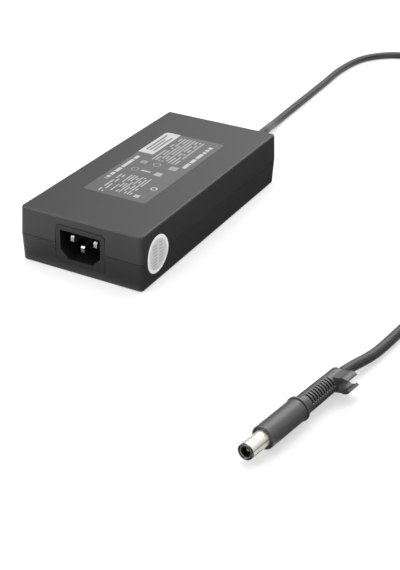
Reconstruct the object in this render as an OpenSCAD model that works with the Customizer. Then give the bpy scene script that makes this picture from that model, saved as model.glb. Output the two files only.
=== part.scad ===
// Power adapter of a laptop computer: a two-shell plastic brick with a mains
// inlet at the front, the switch-mode converter inside it, and a soft cord that
// ends in a barrel plug with a clip for bundling the cord.
//
// Millimetres. The origin is the middle of the underside. X is the width,
// +Y points to the end that the cord leaves, Z is up.

/* [Case] */
// Width of the case at its seam
case_width = 75; // [74:0.5:82]
// Length of the case, from the inlet end to the cord end
case_length = 159; // [158:1:175]
// Height of the case
case_height = 31.5; // [31:0.25:34]
// Height of the seam between the two shells
seam_height = 16; // [15.6:0.2:16.6]
// Thickness of the walls of both shells
wall = 2.5; // [2.3:0.1:2.7]
// Lean of the upper shell's sides, from the seam to the top face
top_draft = 0.8; // [0.5:0.1:1]
// Lean of the lower shell's sides, from the seam to the underside
bottom_draft = 0.7; // [0.5:0.1:1]
// Radius of the upright corners at the seam
corner_radius = 3; // [2.8:0.2:6]
// Radius of the edge round the top face and round the underside
edge_radius = 1.2; // [0.8:0.2:1.6]
// Bevel on each shell along the seam
seam_bevel = 0.25; // [0.15:0.05:0.35]
// Height of the lip that centres the upper shell on the lower one
lip_height = 1.8; // [1.4:0.2:2.2]
// Thickness of that lip
lip_thickness = 1.1; // [0.9:0.1:1.2]
// Diameter of the posts that carry and press down the circuit board
post_diameter = 6; // [5:0.5:6.5]
// Diameter of the pins that centre the board and the upper posts
post_pin_diameter = 2.6; // [2:0.2:3]

/* [Labels] */
// Width of the rating label's panel
label_width = 39; // [34:1:42]
// Length of the rating label's panel
label_length = 92; // [80:1:110]
// Depth of the panel's recess in the top face
label_recess = 0.2; // [0.15:0.05:0.4]
// Shift of the label to the left of the middle
label_shift_x = 1.25; // [0:0.25:4]
// Shift of the label towards the cord end
label_shift_y = 1.5; // [0:0.5:6]
// Radius of the label's corners
label_radius = 2.5; // [1:0.5:4]
// Diameter of the round seal across the seam
seal_diameter = 21; // [16:1:23]
// Distance of the seal's middle from the inlet end
seal_from_front = 15.6; // [14:0.2:24]

/* [Mains inlet] */
// Width of the inlet's opening
inlet_width = 24.4; // [24:0.1:25]
// Height of the inlet's opening
inlet_height = 16; // [15.6:0.1:16.4]
// Depth of the inlet's opening
inlet_depth = 16.8; // [16:0.2:17.4]
// Bevel on the two lower corners of the opening
inlet_bevel = 4.9; // [4:0.1:5.4]
// Radius of the other corners of the opening
inlet_corner = 1; // [0.6:0.2:1.6]
// Wall of the inlet housing round its opening
inlet_wall = 1.4; // [1.2:0.1:1.6]
// Step of the inlet's flange beyond its housing
flange_step = 1.3; // [1:0.1:1.5]
// Thickness of the inlet's flange
flange_thickness = 1.2; // [1:0.1:1.4]
// Distance between the live and neutral pins
pin_spacing = 14; // [13.6:0.1:14.4]
// Height of those pins above the middle of the inlet, and of the earth pin below it
pin_offset = 2; // [1.6:0.1:2.4]
// Width of a pin
pin_width = 2; // [1.8:0.1:2.2]
// Height of a pin
pin_height = 4; // [3.6:0.1:4.2]

/* [Circuit] */
// Height of the circuit board's underside
board_height = 5; // [4.6:0.2:5.6]
// Thickness of the circuit board
board_thickness = 1.6; // [1.2:0.2:1.8]
// Thickness of the lower metal shield
bottom_shield_thickness = 0.5; // [0.3:0.1:0.6]
// Thickness of the upper metal shield
top_shield_thickness = 0.8; // [0.5:0.1:1]
// Thickness of the insulating sheets
insulator_thickness = 0.4; // [0.3:0.1:0.6]
// Thickness of the pads that carry heat to the upper shield
pad_thickness = 0.5; // [0.4:0.1:1]
// Diameter of the ring chokes' windings
choke_diameter = 22; // [19:0.5:23]
// Diameter of the large capacitors
bulk_diameter = 18; // [16:0.5:18]
// Length of the large capacitors
bulk_length = 33; // [28:1:34]
// Width of the transformer
transformer_width = 34; // [30:0.5:34.5]
// Length of the transformer
transformer_length = 32; // [28:0.5:33]
// Width and length of the boost inductor
inductor_size = 27; // [24:0.5:28]
// Thickness of the heat sinks
heatsink_thickness = 2; // [1.5:0.1:2.4]

/* [Cord] */
// Diameter of the cord
cord_diameter = 5.2; // [4.6:0.1:5.4]
// Sideways place of the cord's exit
cord_exit_x = 13.5; // [8:0.5:18]
// Length of the grommet outside the case
grommet_length = 24; // [20:1:28]
// Diameter of the grommet in the wall of the case
grommet_diameter = 10.5; // [9.5:0.5:12]
// Mean radius of the coil of spare cord
coil_radius = 31; // [27:0.5:32]
// Turns of the coil side by side
coil_columns = 3; // [2:1:3]
// Turns of the coil one above the other
coil_rows = 2; // [1:1:3]

/* [Plug] */
// Diameter of the plug's metal barrel
barrel_diameter = 7.4; // [7.2:0.1:7.6]
// Length of the barrel outside the body, with its insulating tip
barrel_length = 12.5; // [10:0.5:14]
// Length of the insulating tip in front of the metal
tip_length = 1.3; // [1:0.1:1.6]
// Bore of the contact sleeve inside the barrel
contact_bore = 5; // [4.8:0.1:5.1]
// Diameter of the centre pin
centre_pin_diameter = 1.7; // [1.2:0.1:1.8]
// Diameter of the plug's body
body_diameter = 10.8; // [10:0.2:11.2]
// Length of the plug's body in front of its collar
body_length = 25.5; // [22:0.5:27]
// Diameter of the thin collar behind the body
collar_diameter = 11.7; // [11.4:0.1:12.4]
// Thickness of the collar
collar_length = 1; // [0.8:0.1:1.6]
// Diameter of the slotted strain relief at the collar
relief_diameter = 9.3; // [8.8:0.1:9.6]
// Diameter of the strain relief at its end
relief_end_diameter = 8.9; // [8.4:0.1:9.2]
// Length of the plain sleeve between the collar and the first slot
sleeve_plain = 4.4; // [3:0.2:6]
// Number of slots along the strain relief
slot_count = 10; // [6:1:11]
// Distance from one slot to the next
slot_pitch = 1.85; // [1.6:0.05:2]
// Width of a slot
slot_width = 0.95; // [0.7:0.05:1.1]
// Depth of a slot
slot_depth = 1.5; // [1:0.1:1.7]
// Width of the bars that join the ribs at the sleeve's two sides
slot_bar = 1.5; // [0.8:0.1:2]
// Width of the bars that join the ribs above and below
slot_spine = 1.9; // [1.4:0.1:2.6]
// Bore of the cord clip
clip_bore = 5; // [4.8:0.1:5.4]
// Wall of the cord clip
clip_wall = 1.45; // [1.2:0.05:1.8]
// Distance of the clip's middle from the plug's axis
clip_reach = 7.5; // [7.4:0.1:9]
// Length of the clip along the plug
clip_length = 7.8; // [6:0.2:9]
// Half the angle that the clip's mouth opens
clip_mouth = 40; // [30:1:48]
// Turn of the clip above the level
plug_roll = 15; // [0:1:20]

/* [Hidden] */
$fn = 64;

// Colours
case_color = [0.16, 0.16, 0.17];
board_color = [0.55, 0.45, 0.25];
copper_color = [0.72, 0.42, 0.22];
ferrite_color = [0.25, 0.25, 0.26];
metal_color = [0.78, 0.78, 0.76];
cord_color = [0.13, 0.13, 0.14];

// A little more than nothing, for cuts that run past a face
past = 1;
// Gap between pieces that lie in or against each other
fit_gap = 0.1;
// Gap round the inlet's body and round the posts
panel_gap = 0.3;
// Gap round the inlet's flange in the front of the case
flange_gap = 0.2;
// Gap round the lip of the lower shell
lip_gap = 0.15;
// Steps in a rounded edge
edge_steps = 5;

// Inside of the case
cavity_edge = 0.5;
cavity_corner = max(corner_radius - wall, max(top_draft, bottom_draft) + cavity_edge + 0.2);
inner_back = case_length / 2 - wall;
inner_front = -inner_back;
lip_inset = wall - lip_thickness;
ceiling = case_height - wall;
component_top = ceiling - top_shield_thickness - insulator_thickness - pad_thickness;
board_top = board_height + board_thickness;

// Flat sheets stay inside the leaning walls
sheet_margin = 0.5;
lower_sheet_width = case_width - 2 * (wall + bottom_draft + cavity_edge + sheet_margin);
upper_sheet_width = case_width - 2 * (wall + top_draft + cavity_edge + sheet_margin);
board_width = case_width - 2 * (wall + bottom_draft + 0.8);

// Inlet, centred on the seam
inlet_z = seam_height;
inlet_body_width = inlet_width + 2 * inlet_wall;
inlet_body_height = inlet_height + 2 * inlet_wall;
flange_width = inlet_body_width + 2 * flange_step;
flange_height = inlet_body_height + 2 * flange_step;
flange_radius = 2.5;
flange_setback = 0.3;
flange_front = -case_length / 2 + flange_setback;
flange_back = flange_front + flange_thickness;
rear_collar_thickness = 1.5;
inlet_floor = flange_front + inlet_depth;
inlet_floor_thickness = 2.5;
inlet_rear = inlet_floor + inlet_floor_thickness;
pin_tip_setback = 3.6;
earth_tip_setback = 2.4;
pin_tail_thickness = 1;
pin_tail_reach = 3;

// Board and the rows of components along it
board_front = inlet_rear + 0.5;
board_back = inner_back - 1;
board_length = board_back - board_front;
post_x = board_width / 2 - post_diameter / 2 - 2;
post_front_y = board_front + 4.4;
post_back_y = board_back - 10;
post_pin_height = 5;
least_gap = 0.5;

// Row behind the inlet, spread between the two front posts
fuse_diameter = 5.2;
fuse_length = 20;
disc_thickness = 4.5;
varistor_diameter = 11;
thermistor_diameter = 10;
entry_edge = post_x - post_diameter / 2;
entry_gap = (2 * entry_edge - fuse_length - varistor_diameter - thermistor_diameter) / 4;
fuse_x = entry_gap + fuse_length / 2 - entry_edge;
varistor_x = fuse_x + fuse_length / 2 + entry_gap + varistor_diameter / 2;
thermistor_x = entry_edge - entry_gap - thermistor_diameter / 2;

// Mains filter: two ring chokes with the film capacitors between them
choke_height = 12;
choke_core_width = 4;
choke_wire = 1.4;
choke_x = board_width / 2 - choke_diameter / 2 - 1.2;
x_capacitor_depth = 8.5;
x_capacitor_height = 14;
x_capacitor_gap = 2.3;
x_capacitor_width = 2 * (choke_x - choke_diameter / 2 - x_capacitor_gap);

// Output row, set from the cord's end of the board
wire_diameter = 2;
wire_y = inner_back - 6;
package_thickness = 3.5;
package_width = 10;
package_height = 11;
package_legs = 4;
leg_diameter = 0.9;
output_capacitor_diameter = 10;
output_capacitor_height = 16;
output_capacitor_row = wire_y - wire_diameter / 2 - least_gap - output_capacitor_diameter / 2;
output_row = output_capacitor_row - output_capacitor_diameter / 2 - least_gap
    - package_thickness - heatsink_thickness;

// The rows share what is left of the board's length evenly
entry_row = inlet_rear + pin_tail_reach + least_gap + fuse_diameter / 2;
rows_start = entry_row + fuse_diameter / 2;
rows_length = choke_diameter + 2 * bulk_length;
row_gap = (output_row - rows_start - rows_length) / 4;
filter_row = rows_start + row_gap + choke_diameter / 2;
power_row_front = filter_row + choke_diameter / 2 + row_gap;
power_row = power_row_front + bulk_length / 2;
inductor_y = power_row + 1.5;
transformer_front = power_row_front + bulk_length + row_gap;
transformer_y = transformer_front + transformer_length / 2;

// Across the board: heat sink, inductor or transformer, large capacitor, control board
heatsink_x = 1 - board_width / 2;
heatsink_flange = 6;
package_face = heatsink_x + heatsink_thickness + package_thickness;
control_x = board_width / 2 - 3.5;
control_board_thickness = 1;
chip_thickness = 1.4;
chip_face = control_x - control_board_thickness / 2 - chip_thickness;
power_gap = (chip_face - package_face - inductor_size - bulk_diameter) / 3;
inductor_x = package_face + power_gap + inductor_size / 2;
bulk_x = chip_face - power_gap - bulk_diameter / 2;
second_gap = (board_width / 2 - package_face - transformer_width - bulk_diameter) / 2;
transformer_x = package_face + second_gap + transformer_width / 2;
second_bulk_x = (board_width - bulk_diameter) / 2;

// Output side, across the board
secondary_heatsink_width = 36;
secondary_heatsink_x = heatsink_x + secondary_heatsink_width / 2;
optocoupler_size = [6, 4.6, 3.5];
optocoupler_pitch = optocoupler_size[0] + 2;
optocoupler_x = heatsink_x + secondary_heatsink_width + 2 + optocoupler_size[0] / 2;
optocoupler_y = output_row + 0.3 + optocoupler_size[1] / 2;
output_capacitor_x = post_diameter / 2 - post_x + least_gap + output_capacitor_diameter / 2;
choke_rod_diameter = 6;
choke_turns_diameter = choke_rod_diameter + 2 * wire_diameter;
output_choke_x = post_x - post_diameter / 2 - least_gap - choke_turns_diameter / 2;

// Grommet in the back wall
grommet_z = seam_height;
grommet_inner_face = inner_back - 2;
grommet_end = case_length / 2 + grommet_length;
grommet_end_diameter = 7.5;

// Coil of the spare cord on the floor, and the notches where the cord joins it
coil_x = 150;
coil_y = 150;
coil_width = coil_columns * cord_diameter;
coil_height = coil_rows * cord_diameter;
coil_side = coil_x + coil_radius + (coil_width - cord_diameter) / 2;
notch_reach = 4;
notch_gap = 0.4;
lying = cord_diameter / 2;
upper_turn = coil_height - cord_diameter / 2;

// Plug lying on the floor on its collar, and the direction its rear points in
plug_tip = [142, -176];
plug_heading = 10;
plug_axis = [sin(plug_heading), cos(plug_heading), 0];
collar_front = barrel_length + body_length;
collar_back = collar_front + collar_length;
first_slot = collar_back + sleeve_plain;
last_rib = 0.8;
clip_front = first_slot + slot_count * slot_pitch + last_rib;
clip_back = clip_front + clip_length;
clip_radius = clip_bore / 2 + clip_wall;
barrel_hidden = 7.5;
barrel_step = 0.2;
barrel_wall = 0.6;
barrel_end = barrel_length + barrel_hidden;
sleeve_wall = 0.22;
lining_reach = 2;
spigot_diameter = 6.4;
spigot_length = 9;

// Points of the cord's route, chosen by hand, from the grommet to the coil
lead_points = [
    [cord_exit_x, grommet_end, grommet_z],
    [cord_exit_x, grommet_end + 5, grommet_z],
    [12.3, 117, 15],
    [8.7, 130, 11.5],
    [4, 145, 7],
    [0.5, 160, 3.6],
    [-0.8, 175, lying],
    [-1.3, 200, lying],
    [-2.3, 250, lying],
    [-3, 290, lying],
    [3, 324, lying],
    [22, 345, lying],
    [50, 348, lying],
    [85, 342, lying],
    [118, 322, lying],
    [147, 292, lying],
    [168, 256, lying],
    [180, 218, lying],
    [coil_side, 182, lying],
    [coil_side, coil_y + notch_reach, lying]
];
// Points of the cord's route from the top of the coil to the plug
tail_points = [
    [coil_side, coil_y - notch_reach, upper_turn],
    [coil_side, 135, upper_turn],
    [coil_side, 122, upper_turn - 0.4],
    [184.8, 104, 5],
    [182.6, 88, 3],
    [180, 72, lying],
    [173.5, 25, lying],
    [168.5, -15, lying],
    [165, -45, lying],
    [161, -75, 3],
    plug_point(clip_back + 12, -1),
    plug_point(clip_back + 4, 0),
    plug_point(clip_back, 0)
];
cord_sides = 10;
ring_step = 13;

// ---------------------------------------------------------------------------
// Shapes used by several pieces

// A box standing on the point at, centred on it sideways
module standing_box(size, at) {
    translate([at[0] - size[0] / 2, at[1] - size[1] / 2, at[2]]) cube(size);
}

// A plate with round upright corners, standing on z = 0
module rounded_plate(length, width, radius, height) {
    for (x = [-1, 1], y = [-1, 1])
        translate([x * (width / 2 - radius), y * (length / 2 - radius), 0])
            cylinder(r = radius, h = height);
    standing_box([width - 2 * radius, length, height], [0, 0, 0]);
    standing_box([width, length - 2 * radius, height], [0, 0, 0]);
}

// The same plate standing upright, its thickness along +Y from y = 0
module upright_plate(width, height, radius, thickness) {
    translate([0, thickness, 0])
        rotate([90, 0, 0])
            rounded_plate(height, width, radius, thickness);
}

// How far in a leaning side stands at each height: a rounded edge at the
// bottom, the lean, then the bevel at the open end
function side_profile(height, draft, edge, bevel) = concat(
    [for (i = [0:edge_steps])
        let (a = 90 * i / edge_steps)
            [draft + edge * (1 - sin(a)), edge * (1 - cos(a))]],
    [[0, height - bevel], [bevel, height]]
);

// Outline between two leaning sides that stand half_width from the middle
function between_sides(half_width, profile) = concat(
    [for (p = profile) [half_width - p[0], p[1]]],
    [for (i = [len(profile) - 1:-1:0]) [profile[i][0] - half_width, profile[i][1]]]
);

// A block with leaning sides, round corners and a rounded lower edge
module drafted_block(length, width, height, corner, draft, edge, bevel) {
    profile = side_profile(height, draft, edge, bevel);
    for (x = [-1, 1], y = [-1, 1])
        translate([x * (width / 2 - corner), y * (length / 2 - corner), 0])
            rotate_extrude()
                polygon(concat(
                    [[0, 0]],
                    [for (p = profile) [corner - p[0], p[1]]],
                    [[0, height]]
                ));
    translate([0, length / 2 - corner, 0])
        rotate([90, 0, 0])
            linear_extrude(length - 2 * corner)
                polygon(between_sides(width / 2, profile));
    translate([corner - width / 2, 0, 0])
        rotate([90, 0, 90])
            linear_extrude(width - 2 * corner)
                polygon(between_sides(length / 2, profile));
}

// The lower half's outer form, grown outwards by grow
module lower_form(grow, bevel) {
    translate([0, 0, -grow])
        drafted_block(case_length + 2 * grow, case_width + 2 * grow, seam_height + grow,
            corner_radius + grow, bottom_draft, edge_radius, bevel);
}

// The upper half's outer form, grown outwards by grow
module upper_form(grow, bevel) {
    translate([0, 0, case_height + grow])
        mirror([0, 0, 1])
            drafted_block(case_length + 2 * grow, case_width + 2 * grow,
                case_height - seam_height + grow, corner_radius + grow, top_draft,
                edge_radius, bevel);
}

// Copies a post at each corner of the board
module at_posts() {
    for (x = [-post_x, post_x], y = [post_front_y, post_back_y])
        translate([x, y, 0]) children();
}

// Turns a shape that was made along +Z so that it runs along +Y
module along_y(y) {
    translate([0, y, 0]) rotate([-90, 0, 0]) children();
}

// Two thin leads that stand under a component, side by side along X
module leads(x, y, spacing, top) {
    lead_diameter = 0.8;
    for (side = [-1, 1])
        translate([x + side * spacing / 2, y, board_top])
            cylinder(d = lead_diameter, h = top - board_top);
}

// ---------------------------------------------------------------------------
// Case

// Room for the inlet in both shells: its flange's pocket and its body's hole
module inlet_room() {
    translate([0, -case_length / 2 - past, inlet_z])
        upright_plate(flange_width + 2 * flange_gap, flange_height + 2 * flange_gap,
            flange_radius + flange_gap, flange_back + fit_gap + case_length / 2 + past);
    translate([0, flange_front, inlet_z])
        upright_plate(inlet_body_width + 2 * panel_gap, inlet_body_height + 2 * panel_gap,
            inlet_wall + panel_gap, inner_front - flange_front + past);
}

// Room for the grommet in the back wall of both shells
module grommet_room() {
    translate([cord_exit_x, 0, grommet_z])
        along_y(inner_back - past)
            cylinder(d = grommet_diameter + fit_gap, h = wall + 2 * past);
}

// Ribs that hold the inlet's body from below or from above
module inlet_cradle(low, high) {
    rib_thickness = 1.5;
    rib_length = 12;
    for (x = [-9, 9])
        standing_box([rib_thickness, rib_length, high - low],
            [x, inner_front + rear_collar_thickness + 1 + rib_length / 2, low]);
}

module case_bottom() {
    color(case_color)
        difference() {
            union() {
                difference() {
                    lower_form(0, seam_bevel);
                    translate([0, 0, wall])
                        drafted_block(case_length - 2 * wall, case_width - 2 * wall,
                            seam_height - wall + 0.01, cavity_corner, bottom_draft,
                            cavity_edge, 0);
                }
                // Lip along the seam
                translate([0, 0, seam_height - past])
                    difference() {
                        rounded_plate(case_length - 2 * lip_inset, case_width - 2 * lip_inset,
                            corner_radius - lip_inset, lip_height + past);
                        translate([0, 0, -past])
                            rounded_plate(case_length - 2 * wall, case_width - 2 * wall,
                                cavity_corner, lip_height + 3 * past);
                    }
                at_posts() {
                    translate([0, 0, wall - 0.5])
                        cylinder(d = post_diameter, h = board_height - wall + 0.5);
                    cylinder(d = post_pin_diameter, h = board_top + post_pin_height);
                }
                inlet_cradle(wall - 0.5, inlet_z - inlet_body_height / 2 - fit_gap);
            }
            inlet_room();
            grommet_room();
        }
}

module case_top() {
    color(case_color)
        difference() {
            union() {
                difference() {
                    upper_form(0, seam_bevel);
                    translate([0, 0, ceiling])
                        mirror([0, 0, 1])
                            drafted_block(case_length - 2 * wall, case_width - 2 * wall,
                                ceiling - seam_height + 0.01, cavity_corner, top_draft,
                                cavity_edge, 0);
                    // Rebate for the lower shell's lip
                    translate([0, 0, seam_height - past])
                        rounded_plate(case_length - 2 * (lip_inset - lip_gap),
                            case_width - 2 * (lip_inset - lip_gap),
                            corner_radius - lip_inset + lip_gap, lip_height + lip_gap + past);
                }
                at_posts()
                    translate([0, 0, board_top + fit_gap])
                        cylinder(d = post_diameter, h = ceiling + 0.5 - board_top - fit_gap);
                inlet_cradle(inlet_z + inlet_body_height / 2 + fit_gap, ceiling + 0.5);
            }
            at_posts()
                cylinder(d = post_pin_diameter + panel_gap,
                    h = board_top + post_pin_height + panel_gap);
            inlet_room();
            grommet_room();
            // Recess for the rating label
            translate([-label_shift_x, label_shift_y, case_height - label_recess])
                rounded_plate(label_length + 2 * fit_gap, label_width + 2 * fit_gap,
                    label_radius + fit_gap, label_recess + past);
        }
}

module rating_label() {
    color([0.5, 0.5, 0.5])
        translate([-label_shift_x, label_shift_y, case_height - label_recess])
            rounded_plate(label_length, label_width, label_radius, label_recess);
}

// A thin round sticker that follows both shells' sides and bridges the seam's bevels
module round_seal() {
    seal_thickness = 0.1;
    color([0.8, 0.8, 0.8])
        intersection() {
            difference() {
                union() {
                    lower_form(seal_thickness, 0);
                    upper_form(seal_thickness, 0);
                }
                lower_form(0, seam_bevel);
                upper_form(0, seam_bevel);
            }
            translate([0, seal_from_front - case_length / 2, seam_height])
                rotate([0, 90, 0])
                    cylinder(d = seal_diameter, h = case_width);
        }
}

// ---------------------------------------------------------------------------
// Mains inlet

// Outline of the opening, seen from the front, with two bevelled lower corners
module inlet_opening(depth) {
    difference() {
        upright_plate(inlet_width, inlet_height, inlet_corner, depth);
        for (side = [-1, 1])
            translate([side * inlet_width / 2, 0, -inlet_height / 2])
                rotate([0, 45, 0])
                    cube([inlet_bevel * sqrt(2), 4 * depth, inlet_bevel * sqrt(2)],
                        center = true);
    }
}

module inlet_housing() {
    color([0.08, 0.08, 0.08])
        difference() {
            union() {
                translate([0, flange_front, inlet_z])
                    upright_plate(flange_width, flange_height, flange_radius, flange_thickness);
                translate([0, flange_front, inlet_z])
                    upright_plate(inlet_body_width, inlet_body_height, inlet_wall,
                        inlet_rear - flange_front);
                translate([0, inner_front + fit_gap, inlet_z])
                    upright_plate(flange_width, flange_height, flange_radius,
                        rear_collar_thickness);
            }
            translate([0, flange_front - past, inlet_z])
                inlet_opening(inlet_depth + past);
            // Slots that the pins are pressed into
            for (place = [[-pin_spacing / 2, pin_offset], [pin_spacing / 2, pin_offset],
                    [0, -pin_offset]])
                standing_box([pin_width, 3 * inlet_floor_thickness, pin_height],
                    [place[0], inlet_floor, inlet_z + place[1] - pin_height / 2]);
        }
}

// A flat pin with bevelled end, and its tail bent down to the board
module inlet_pin(x, z_offset, tip_setback) {
    tip = flange_front + tip_setback;
    bevel = 0.8;
    color(metal_color) {
        translate([x - pin_width / 2, 0, inlet_z + z_offset])
            rotate([90, 0, 90])
                linear_extrude(pin_width)
                    polygon([
                        [tip, -pin_height / 2 + bevel],
                        [tip + bevel, -pin_height / 2],
                        [inlet_rear + pin_tail_reach, -pin_height / 2],
                        [inlet_rear + pin_tail_reach, pin_height / 2],
                        [tip + bevel, pin_height / 2],
                        [tip, pin_height / 2 - bevel]
                    ]);
        translate([x - pin_width / 2, inlet_rear + pin_tail_reach - pin_tail_thickness, board_top])
            cube([pin_width, pin_tail_thickness, inlet_z + z_offset - board_top]);
    }
}

module inlet_live_pin() {
    inlet_pin(-pin_spacing / 2, pin_offset, pin_tip_setback);
}

module inlet_neutral_pin() {
    inlet_pin(pin_spacing / 2, pin_offset, pin_tip_setback);
}

module inlet_earth_pin() {
    inlet_pin(0, -pin_offset, earth_tip_setback);
}

// ---------------------------------------------------------------------------
// Board, shields and insulation

module circuit_board() {
    slot_across = 2;
    color(board_color)
        difference() {
            translate([0, board_front + board_length / 2, board_height])
                rounded_plate(board_length, board_width, 1.5, board_thickness);
            at_posts() cylinder(d = post_pin_diameter + panel_gap, h = case_height);
            // Slot that parts the mains side from the output side
            standing_box([optocoupler_pitch + optocoupler_size[0], slot_across, case_height],
                [optocoupler_x + optocoupler_pitch / 2, optocoupler_y, 0]);
        }
}

// A thin sheet under or over the board, with room for the posts
module sheet(width, z, thickness) {
    front = board_front + 0.5;
    back = inner_back - 3;
    difference() {
        translate([0, (front + back) / 2, z])
            rounded_plate(back - front, width, 1, thickness);
        at_posts() cylinder(d = post_diameter + 2 * panel_gap, h = case_height);
    }
}

module bottom_shield() {
    color(metal_color) sheet(lower_sheet_width, wall, bottom_shield_thickness);
}

module bottom_insulator() {
    color([0.9, 0.85, 0.6])
        sheet(lower_sheet_width - 1, wall + bottom_shield_thickness, insulator_thickness);
}

module top_shield() {
    skirt_height = 8;
    skirt_thickness = 0.6;
    skirt_front = post_front_y + post_diameter;
    skirt_length = transformer_front - least_gap - skirt_front;
    color(metal_color) {
        sheet(upper_sheet_width, ceiling - top_shield_thickness, top_shield_thickness);
        for (side = [-1, 1])
            standing_box([skirt_thickness, skirt_length, skirt_height + top_shield_thickness],
                [side * (upper_sheet_width - skirt_thickness) / 2,
                    skirt_front + skirt_length / 2, ceiling - skirt_height
                    - top_shield_thickness]);
    }
}

module top_insulator() {
    color([0.9, 0.85, 0.6])
        sheet(upper_sheet_width - 3, ceiling - top_shield_thickness - insulator_thickness,
            insulator_thickness);
}

module thermal_pads() {
    color([0.55, 0.65, 0.75]) {
        standing_box([heatsink_flange, bulk_length, pad_thickness],
            [heatsink_x + heatsink_flange / 2, power_row, component_top]);
        standing_box([transformer_width - 8, transformer_length - 8, pad_thickness],
            [transformer_x, transformer_y, component_top]);
        standing_box([secondary_heatsink_width - 8, heatsink_flange, pad_thickness],
            [secondary_heatsink_x, output_row + heatsink_flange / 2, component_top]);
    }
}

// ---------------------------------------------------------------------------
// Mains filter

module fuse() {
    cap_length = 4;
    fuse_z = board_top + 1 + fuse_diameter / 2;
    color([0.85, 0.82, 0.75])
        translate([fuse_x - fuse_length / 2, entry_row, fuse_z])
            rotate([0, 90, 0]) {
                cylinder(d = fuse_diameter - 0.6, h = fuse_length);
                cylinder(d = fuse_diameter, h = cap_length);
                translate([0, 0, fuse_length - cap_length])
                    cylinder(d = fuse_diameter, h = cap_length);
            }
    color(metal_color) leads(fuse_x, entry_row, fuse_length - cap_length, fuse_z);
}

// A disc component on edge, on two leads
module upright_disc(x, y, diameter, thickness) {
    disc_z = board_top + 1.5 + diameter / 2;
    translate([x, y - thickness / 2, disc_z])
        along_y(0)
            cylinder(d = diameter, h = thickness);
    leads(x, y, diameter / 2, disc_z);
}

module varistor() {
    color([0.2, 0.35, 0.7])
        upright_disc(varistor_x, entry_row, varistor_diameter, disc_thickness);
}

module thermistor() {
    color([0.15, 0.2, 0.15])
        upright_disc(thermistor_x, entry_row, thermistor_diameter, disc_thickness);
}

// Copies a shape at each ring choke
module at_chokes() {
    for (side = [-1, 1])
        translate([side * choke_x, filter_row, 0])
            children();
}

module choke_cores() {
    core_diameter = choke_diameter - 2 * choke_wire;
    color([0.2, 0.45, 0.3])
        at_chokes()
            translate([0, 0, board_top + choke_wire])
                rotate_extrude()
                    translate([core_diameter / 2 - choke_core_width, 0])
                        square([choke_core_width, choke_height - 2 * choke_wire]);
}

// Two windings round each core, each a sleeve that wraps the core's section
module choke_windings() {
    core_diameter = choke_diameter - 2 * choke_wire;
    winding_angle = 140;
    color(copper_color)
        at_chokes()
            for (turn = [20, 200])
                rotate([0, 0, turn])
                    translate([0, 0, board_top])
                        rotate_extrude(angle = winding_angle)
                            difference() {
                                translate([core_diameter / 2 - choke_core_width - choke_wire, 0])
                                    square([choke_core_width + 2 * choke_wire, choke_height]);
                                translate([core_diameter / 2 - choke_core_width, choke_wire])
                                    square([choke_core_width, choke_height - 2 * choke_wire]);
                            }
}

module x_capacitors() {
    spacing = x_capacitor_depth + 1.5;
    color([0.85, 0.7, 0.2])
        for (side = [-1, 1])
            translate([0, filter_row + side * spacing / 2, board_top])
                rounded_plate(x_capacitor_depth, x_capacitor_width, 0.8, x_capacitor_height);
}

module y_capacitors() {
    color([0.2, 0.45, 0.75])
        for (side = [-1, 1])
            upright_disc(inductor_x + side * 4.5, power_row_front + 2, 7, 3);
}

// ---------------------------------------------------------------------------
// Mains side of the converter

// A plate on edge with its top bent over, flat against the pads above
module primary_heatsink() {
    plate_length = bulk_length + row_gap + transformer_length;
    color([0.7, 0.7, 0.7]) {
        translate([heatsink_x, power_row_front, board_top])
            cube([heatsink_thickness, plate_length, component_top - board_top]);
        translate([heatsink_x, power_row_front, component_top - heatsink_thickness])
            cube([heatsink_flange, plate_length, heatsink_thickness]);
    }
}

// A flat package on the inner side of the long heat sink, on its legs
module mounted_package(y, width) {
    face = heatsink_x + heatsink_thickness;
    translate([face, y - width / 2, board_top + package_legs])
        cube([package_thickness, width, package_height]);
    for (leg = [-1, 0, 1])
        translate([face + package_thickness / 2, y + leg * width / 4, board_top])
            cylinder(d = leg_diameter, h = package_legs);
}

module bridge_rectifier() {
    color([0.1, 0.1, 0.1]) mounted_package(power_row, 2 * package_width);
}

module power_transistors() {
    color([0.1, 0.1, 0.1])
        for (part = [0.25, 0.75])
            mounted_package(transformer_front + part * bulk_length, package_width);
}

// A closed ferrite frame round a winding: two E halves with their legs meeting
module ferrite_frame(x, y, width, length, low, high) {
    leg = width / 5;
    top_and_base = (high - low) / 5;
    difference() {
        standing_box([width, length, high - low], [x, y, low]);
        standing_box([width - 2 * leg, length + 2 * past, high - low - 2 * top_and_base],
            [x, y, low + top_and_base]);
    }
    translate([x, y, low + top_and_base - 0.1])
        cylinder(d = 1.6 * leg, h = high - low - 2 * top_and_base + 0.2);
}

// The winding in such a frame: a round coil between two flanges
module frame_winding(x, y, width, length, low, high) {
    leg = width / 5;
    inside = low + (high - low) / 5 + fit_gap;
    inside_top = high - (high - low) / 5 - fit_gap;
    coil_diameter = width - 2 * leg - 2 * fit_gap;
    flange = 1;
    translate([x, y, 0])
        difference() {
            union() {
                translate([0, 0, inside])
                    cylinder(d = coil_diameter - 1, h = inside_top - inside);
                for (z = [inside, inside_top - flange])
                    standing_box([coil_diameter, length + 2, flange], [0, 0, z]);
            }
            translate([0, 0, low])
                cylinder(d = 1.6 * leg + 2 * fit_gap, h = high - low);
        }
}

module boost_core() {
    color(ferrite_color)
        ferrite_frame(inductor_x, inductor_y, inductor_size, inductor_size - 4,
            board_top, component_top - 3);
}

module boost_winding() {
    color(copper_color)
        frame_winding(inductor_x, inductor_y, inductor_size, inductor_size - 4,
            board_top, component_top - 3);
}

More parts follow.
